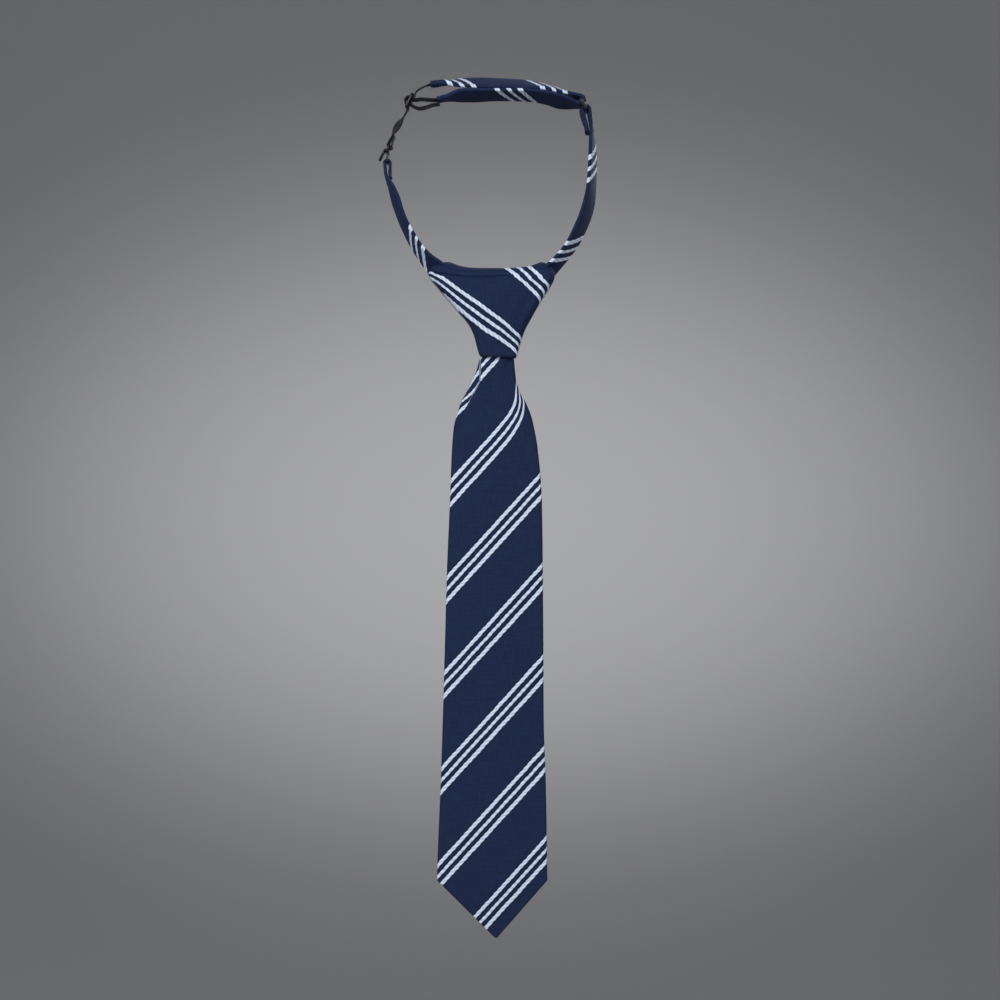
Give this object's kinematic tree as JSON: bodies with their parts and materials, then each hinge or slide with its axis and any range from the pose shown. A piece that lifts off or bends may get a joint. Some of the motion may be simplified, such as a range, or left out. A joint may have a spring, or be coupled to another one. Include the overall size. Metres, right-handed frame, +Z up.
{
  "type": "pre-tied striped necktie with an adjustable hook-and-eye neck loop",
  "caption": "Pre-tied navy necktie with diagonal white triple stripes: pointed blade, stuffed knot and a fastened, adjustable neck loop with slide, hook and eye.",
  "frame": {"origin": "the middle of the back band's neck side, where the loop hangs on the back of a neck", "axes": "+Z up towards the back of the neck, the blade hangs along -Z, the front of the tie faces -Y, +X to the viewer's right"},
  "size_m": [0.1288, 0.0252, 0.5078],
  "materials": {
    "striped_cloth": "twill-woven polyester, navy with pale triple stripes, soft sheen",
    "black_webbing": "narrow ribbed polyester webbing",
    "black_hardware": "black coated, semi-gloss"
  },
  "bodies": {
    "root": {"front_blade": "striped_cloth", "knot": "striped_cloth", "left_neck_band": "striped_cloth", "right_neck_band": "striped_cloth", "back_band": "striped_cloth", "adjuster_webbing": "black_webbing", "slide_loop": "black_webbing", "slide_adjuster": "black_hardware", "eye": "black_hardware", "hook": "black_hardware", "band_ring": "black_hardware"}
  },
  "joints": []
}
